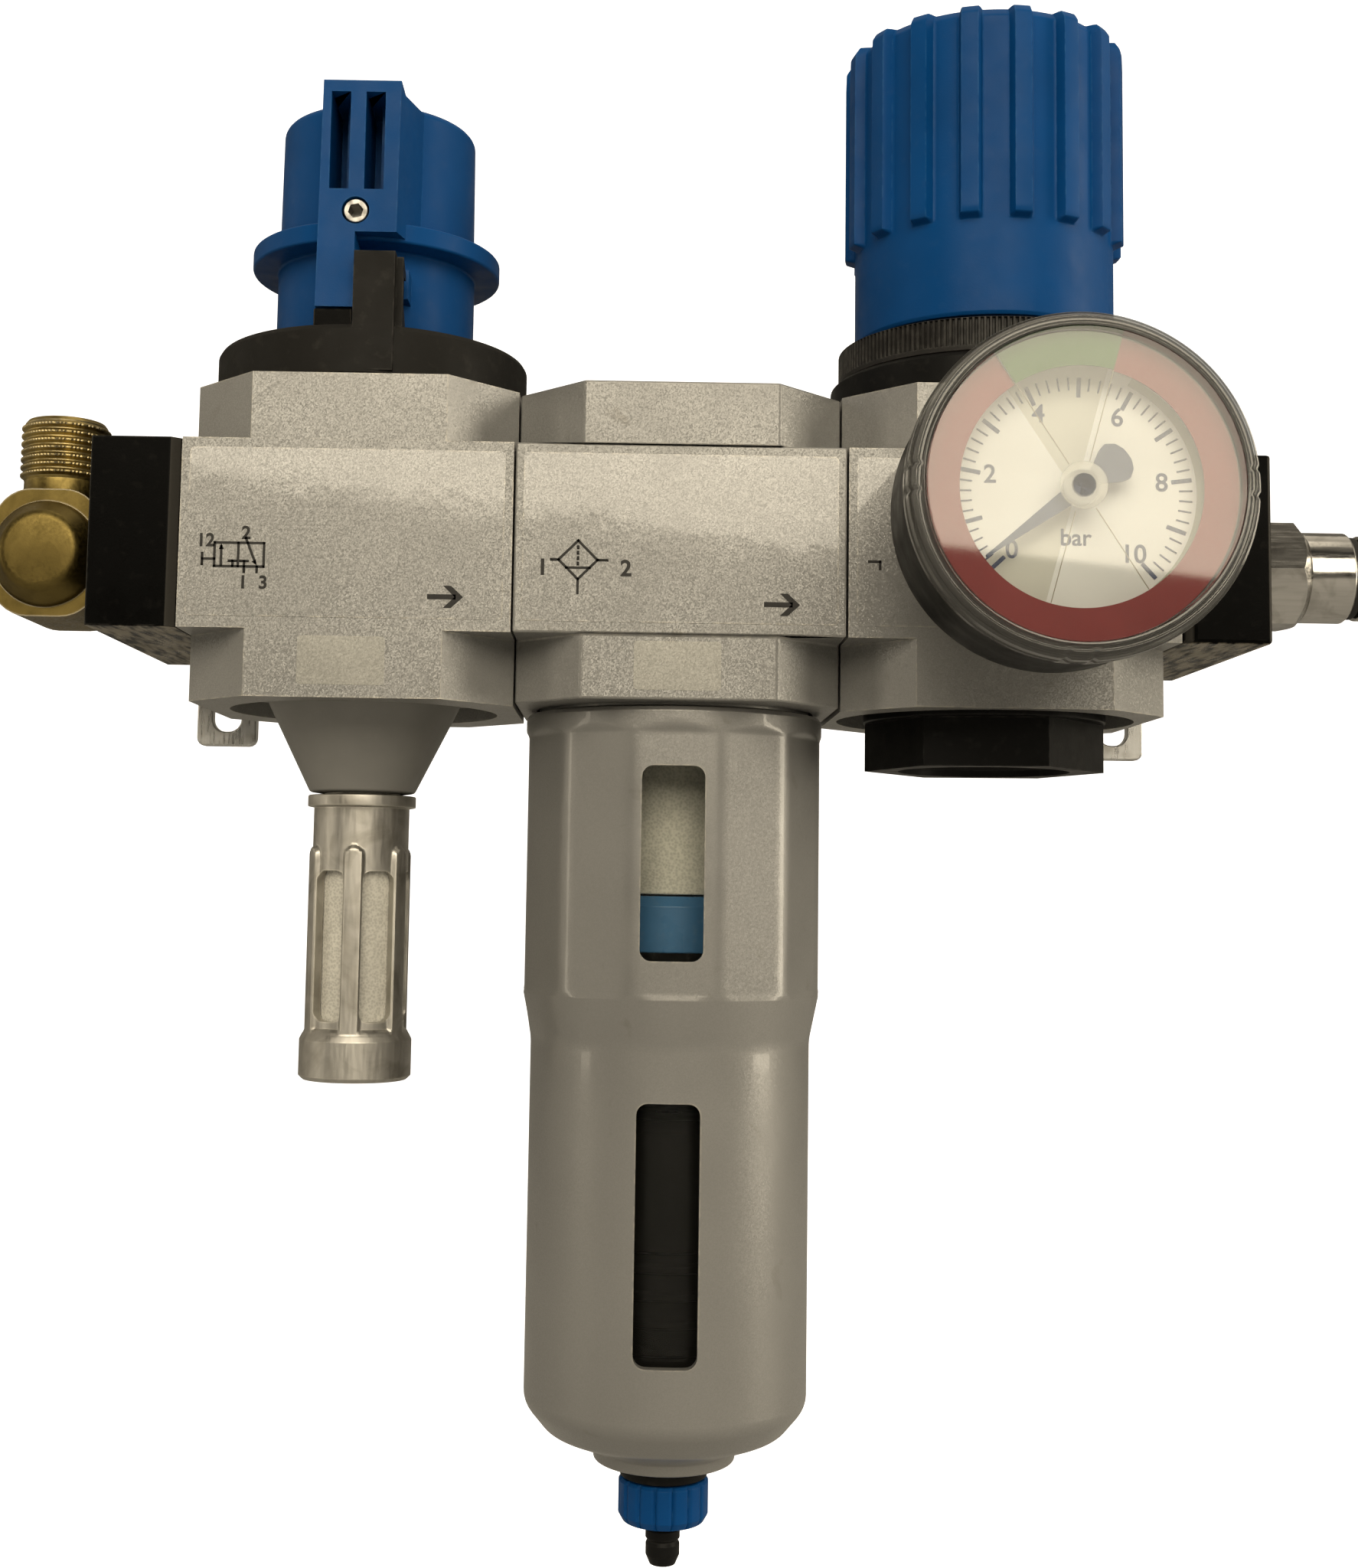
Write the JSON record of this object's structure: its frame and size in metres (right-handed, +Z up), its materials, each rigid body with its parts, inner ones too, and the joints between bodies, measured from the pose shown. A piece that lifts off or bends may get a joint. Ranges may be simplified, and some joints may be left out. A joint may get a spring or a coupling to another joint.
{
  "type": "filter regulator unit",
  "caption": "Compressed-air service unit: hand shut-off valve with silencer, filter with clear bowl, metal guard and automatic drain, and pressure regulator with gauge.",
  "frame": {"origin": "on the wall plane at the rear faces of the two wall brackets, midway between them, at the height of the ports' common axis", "axes": "+Z up, +X the way the air flows (to the viewer's right), +Y into the wall; the front, with the gauge's dial, faces -Y"},
  "size_m": [0.2445, 0.1089, 0.2704],
  "materials": {
    "silver_paint": "satin silver paint on die-cast metal",
    "black_plastic": "moulded black plastic",
    "blue_plastic": "satin blue plastic",
    "grey_plastic": "moulded grey plastic",
    "white_plastic": "porous white plastic",
    "clear_plastic": "clear polycarbonate",
    "aluminium": "bright turned",
    "zinc_plated_steel": "zinc plated",
    "nickel_plate": "nickel-plated brass",
    "brass": "turned brass",
    "rubber": "nitrile rubber",
    "dial_face": "printed cream face",
    "red_plastic": "printed red",
    "green_plastic": "printed green"
  },
  "bodies": {
    "unit": {"left_plate": "black_plastic", "right_plate": "black_plastic", "left_wall_bracket": "zinc_plated_steel", "right_wall_bracket": "zinc_plated_steel", "left_bracket_screw": "zinc_plated_steel", "right_bracket_screw": "zinc_plated_steel", "tie_rod_upper": "zinc_plated_steel", "tie_rod_lower": "zinc_plated_steel", "port_seal_1": "rubber", "port_seal_2": "rubber", "port_seal_3": "rubber", "port_seal_4": "rubber", "elbow_fitting": "brass", "push_fit_body": "nickel_plate", "shutoff_body": "silver_paint", "shutoff_collar": "black_plastic", "shutoff_bonnet": "black_plastic", "piston_spring": "zinc_plated_steel", "exhaust_adapter": "grey_plastic", "silencer_body": "aluminium", "silencer_sleeve": "white_plastic", "filter_body": "silver_paint", "element_holder": "black_plastic", "filter_element": "white_plastic", "baffle_plate": "blue_plastic", "regulator_body": "silver_paint", "bottom_plug": "black_plastic", "poppet_spring": "zinc_plated_steel", "bonnet": "black_plastic", "knurled_ring": "black_plastic", "diaphragm": "rubber", "main_spring": "zinc_plated_steel", "gauge_case": "black_plastic", "gauge_lens": "clear_plastic", "gauge_dial": "dial_face", "gauge_stem": "brass", "bourdon_tube": "brass"},
    "shutoff_knob": {"shutoff_knob": "blue_plastic", "knob_screw": "zinc_plated_steel", "shutoff_spindle": "zinc_plated_steel"},
    "valve_piston": {"valve_piston": "brass"},
    "bowl": {"bowl": "clear_plastic", "bowl_seal": "rubber", "drain_housing": "black_plastic", "drain_body": "black_plastic", "drain_nut": "black_plastic", "drain_barb": "black_plastic"},
    "bowl_guard": {"bowl_guard": "silver_paint"},
    "drain_knob": {"drain_knob": "blue_plastic"},
    "drain_float": {"drain_float": "white_plastic"},
    "regulator_spindle": {"regulator_spindle": "zinc_plated_steel"},
    "regulator_knob": {"regulator_knob": "blue_plastic"},
    "lock_hasp": {"lock_hasp": "zinc_plated_steel"},
    "spring_nut": {"spring_nut": "brass"},
    "valve_poppet": {"valve_poppet": "brass"},
    "gauge_pointer": {"gauge_pointer": "blue_plastic"},
    "red_range_disc": {"red_range_disc": "red_plastic"},
    "green_range_disc": {"green_range_disc": "green_plastic"},
    "release_collar": {"release_collar": "nickel_plate"}
  },
  "joints": [
    {"name": "shutoff_knob_turn", "type": "hinge", "parent": "unit", "child": "shutoff_knob", "pos_m": [-0.055, -0.031, 0.05], "axis": [0, 0, 1], "range_deg": [-90, 0]},
    {"name": "valve_piston_slide", "type": "slide", "parent": "unit", "child": "valve_piston", "axis": [0, 0, 1], "range_m": [0, 0.004], "deforming": ["piston_spring"]},
    {"name": "bowl_drop", "type": "slide", "parent": "unit", "child": "bowl", "axis": [0, 0, -1], "range_m": [0, 0.08]},
    {"name": "guard_bayonet_turn", "type": "hinge", "parent": "bowl", "child": "bowl_guard", "pos_m": [0, -0.031, -0.05], "axis": [0, 0, 1], "range_deg": [-30, 0]},
    {"name": "drain_knob_turn", "type": "hinge", "parent": "bowl", "child": "drain_knob", "pos_m": [0, -0.031, -0.161], "axis": [0, 0, 1], "range_deg": [-90, 0]},
    {"name": "float_rise", "type": "slide", "parent": "bowl", "child": "drain_float", "axis": [0, 0, 1], "range_m": [0, 0.006]},
    {"name": "regulator_spindle_turn", "type": "hinge", "parent": "unit", "child": "regulator_spindle", "pos_m": [0.055, -0.031, 0.07], "axis": [0, 0, 1], "range_deg": [-1080, 0]},
    {"name": "regulator_knob_lift", "type": "slide", "parent": "regulator_spindle", "child": "regulator_knob", "axis": [0, 0, 1], "range_m": [0, 0.003]},
    {"name": "lock_hasp_pull", "type": "slide", "parent": "regulator_knob", "child": "lock_hasp", "axis": [0, 0, 1], "range_m": [0, 0.012]},
    {"name": "spring_nut_slide", "type": "slide", "parent": "unit", "child": "spring_nut", "axis": [0, 0, -1], "range_m": [0, 0.006], "deforming": ["main_spring"]},
    {"name": "poppet_slide", "type": "slide", "parent": "unit", "child": "valve_poppet", "axis": [0, 0, -1], "range_m": [0, 0.0015], "stiffness_N_per_m": 400, "deforming": ["poppet_spring"]},
    {"name": "gauge_pointer_turn", "type": "hinge", "parent": "unit", "child": "gauge_pointer", "pos_m": [0.055, -0.031, 0], "axis": [0, 1, 0], "range_deg": [0, 270], "stiffness_Nm_per_rad": 0.0001},
    {"name": "red_range_turn", "type": "hinge", "parent": "unit", "child": "red_range_disc", "pos_m": [0.055, -0.031, 0], "axis": [0, 1, 0], "range_deg": [-90, 90]},
    {"name": "green_range_turn", "type": "hinge", "parent": "unit", "child": "green_range_disc", "pos_m": [0.055, -0.031, 0], "axis": [0, 1, 0], "range_deg": [-90, 90]},
    {"name": "release_collar_press", "type": "slide", "parent": "unit", "child": "release_collar", "axis": [-1, 0, 0], "range_m": [0, 0.0015], "stiffness_N_per_m": 500}
  ],
  "couplings": [
    {"joint": "valve_piston_slide", "follows": "shutoff_knob_turn", "m_per_rad": -0.0025465},
    {"joint": "spring_nut_slide", "follows": "regulator_spindle_turn", "m_per_rad": -0.00031831}
  ]
}
